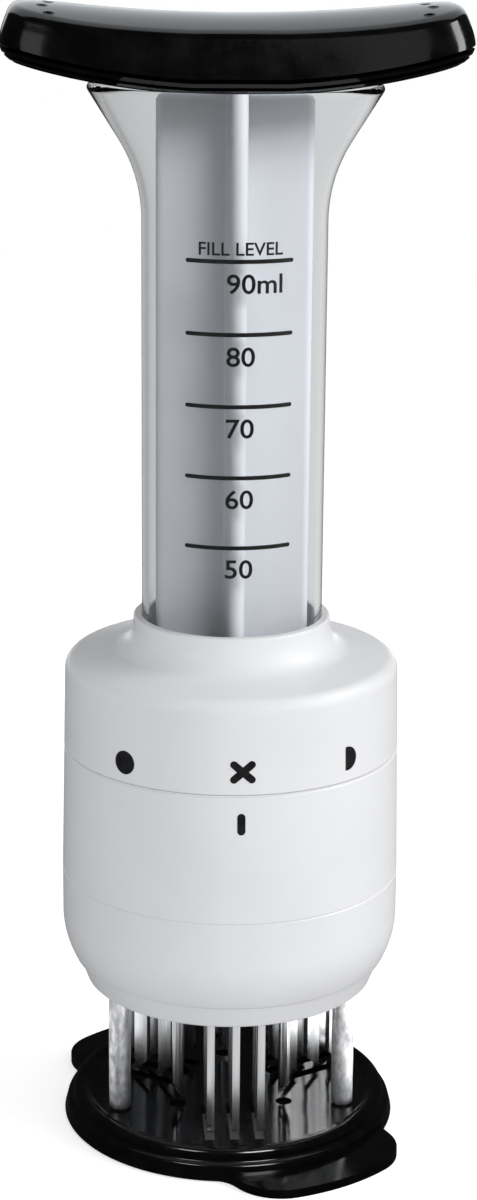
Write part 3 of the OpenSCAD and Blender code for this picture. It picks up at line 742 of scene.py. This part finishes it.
def blend(share, one, other):
    """One brightness where the share is nought, and another where it is one."""
    choice = tree.nodes.new("ShaderNodeMix")
    choice.data_type = "FLOAT"
    for socket, value in zip((choice.inputs[0], choice.inputs[2], choice.inputs[3]), (share, one, other)):
        if isinstance(value, float):
            socket.default_value = value
        else:
            tree.links.new(value, socket)
    return choice.outputs[0]


backdrop = ranged(tree, split.outputs["X"], start=-0.3, end=0.3, low=0.4, high=0.74)
walls = ranged(tree, split.outputs["X"], start=-1, end=1, low=0.48, high=0.74)
mirrored, seen = 0.025, 1.0
level = blend(ray.outputs["Is Transmission Ray"], mirrored, backdrop)
level = blend(ray.outputs["Diffuse Depth"], level, walls)
level = blend(ray.outputs["Is Camera Ray"], level, seen)
tree.links.new(level, sky.inputs["Strength"])
sky.inputs["Color"].default_value = (1, 1, 1, 1)


def soft_box(name, place, aim, width, height, glow, only=(), never=(), colour=(1, 1, 1)):
    """A soft lamp that faces a point, and shines on some pieces only or on all but some."""
    bpy.ops.object.light_add(type="AREA", location=place)
    lamp = bpy.context.object
    lamp.name = name
    lamp.visible_camera = False
    lamp.data.shape = "RECTANGLE"
    lamp.data.color = colour
    lamp.data.size, lamp.data.size_y = width, height
    lamp.data.energy = math.pi * width * height * glow
    lamp.rotation_euler = (Vector(aim) - Vector(place)).to_track_quat("-Z", "Y").to_euler()
    group = bpy.data.collections.new(lamp.name + "_pieces")
    for i, piece in enumerate(only or never):
        group.objects.link(piece)
        group.collection_objects[i].light_linking.link_state = "INCLUDE" if only else "EXCLUDE"
    lamp.light_linking.receiver_collection = group


shells = (grip_top, grip_under)
whites = [nodes[node] for node in ("needle_plate", "lower_skirt", "index_ring", "dial_collar")] + [slip_ring]
steel_nodes = ("guide_posts", "injection_needles", "front_blades", "right_blades", "left_blades")
steel_pieces = [nodes[node] for node in steel_nodes]
soft_box("key_box", place=(0.66, -0.36, 0.36), aim=(0, 0, 0.15), width=0.16, height=0.45, glow=5.5,
         never=(tube, dish, *shells))
soft_box("high_box", place=(0.65, 0.0, 0.6), aim=(0, 0, 0.1), width=0.3, height=0.3, glow=7.8,
         never=(tube, dish, *shells))
soft_box("low_box", place=(0.05, -0.5, 0.02), aim=(0, 0, 0.035), width=0.5, height=0.15, glow=2.3,
         only=whites)
soft_box("rear_box", place=(0, 0.6, 0.05), aim=(0, 0, 0.05), width=0.6, height=0.08, glow=3,
         only=(rod, *whites))
soft_box("cool_card", place=(-0.5, -0.55, 0.36), aim=(0, 0, 0.1), width=0.24, height=0.3, glow=3.1,
         never=(tube, dish, rod, *shells), colour=(0.86, 0.93, 1))
soft_box("rod_card", place=(0.32, -0.47, 0.62), aim=(0, 0, 0.13), width=0.5, height=0.3, glow=12,
         only=(rod,))
soft_box("left_card", place=(-0.46, -0.58, 0.45), aim=(0, 0, 0.2), width=0.36, height=0.6, glow=0.9,
         only=shells)
soft_box("front_card", place=(0.25, -0.85, 0.5), aim=(0, 0, 0.2), width=0.3, height=0.75, glow=0.42,
         only=shells)
soft_box("ceiling_card", place=(0, 0.41, 0.5), aim=(0, 0.15, 0), width=0.8, height=1.1, glow=1.2,
         only=(grip_top,), colour=(0.93, 0.97, 1))
soft_box("streak_card", place=(0.6, -0.22, 0.32), aim=(0, 0, 0.2), width=0.22, height=0.7, glow=8,
         only=shells)
for side, glow in ((-1, 0.3), (1, 0.35)):
    soft_box("tube_card", place=(side * 0.6, -0.1, 0.12), aim=(0, 0, 0.17), width=0.5, height=0.5, glow=glow,
             only=(tube,))
for x, y, width, glow in ((-0.35, -0.45, 0.2, 8), (0.22, -0.5, 0.25, 20)):
    soft_box("rim_card", place=(x, y, 0.72), aim=(0, 0, 0), width=width, height=0.2, glow=glow,
             only=(dish,))
table_rows = ((-0.24, -0.05, 0.4, 0.7, 1.0), (0.24, -0.05, 0.4, 0.7, 2.2), (0, -0.22, 0.08, 0.34, 0.75))
for x, y, width, depth, glow in table_rows:
    soft_box("table_card", place=(x, y, 0.001), aim=(x, y, 1), width=width, height=depth, glow=glow,
             only=steel_pieces)
soft_box("post_card", place=(0.05, -0.22, 0.002), aim=(0.05, -0.22, 1), width=0.14, height=0.34, glow=1.4,
         only=(nodes["guide_posts"],))


# Camera: the photograph's view, a little above the handle and almost straight at the dial marks.
# It stands about half a metre away, with a long lens.
view_turn, view_dip, view_roll = math.radians(-3.8), math.radians(15.5), math.radians(0.49)
view_reach, view_height, view_side = 0.471, 0.2346, 0.00125
facing = (Matrix.Rotation(view_turn, 4, "Z") @ Matrix.Rotation(math.pi / 2 - view_dip, 4, "X")
          @ Matrix.Rotation(view_roll, 4, "Z"))
ahead = Vector((-math.sin(view_turn), math.cos(view_turn), 0))
sideways = Vector((math.cos(view_turn), math.sin(view_turn), 0))
spot = view_side * sideways - view_reach * ahead + Vector((0, 0, view_height))
bpy.ops.object.camera_add(location=spot, rotation=facing.to_euler())
camera = bpy.context.object
camera.data.sensor_width = 36
camera.data.lens = 78
bpy.context.scene.camera = camera
bpy.context.scene.view_settings.view_transform = "Standard"
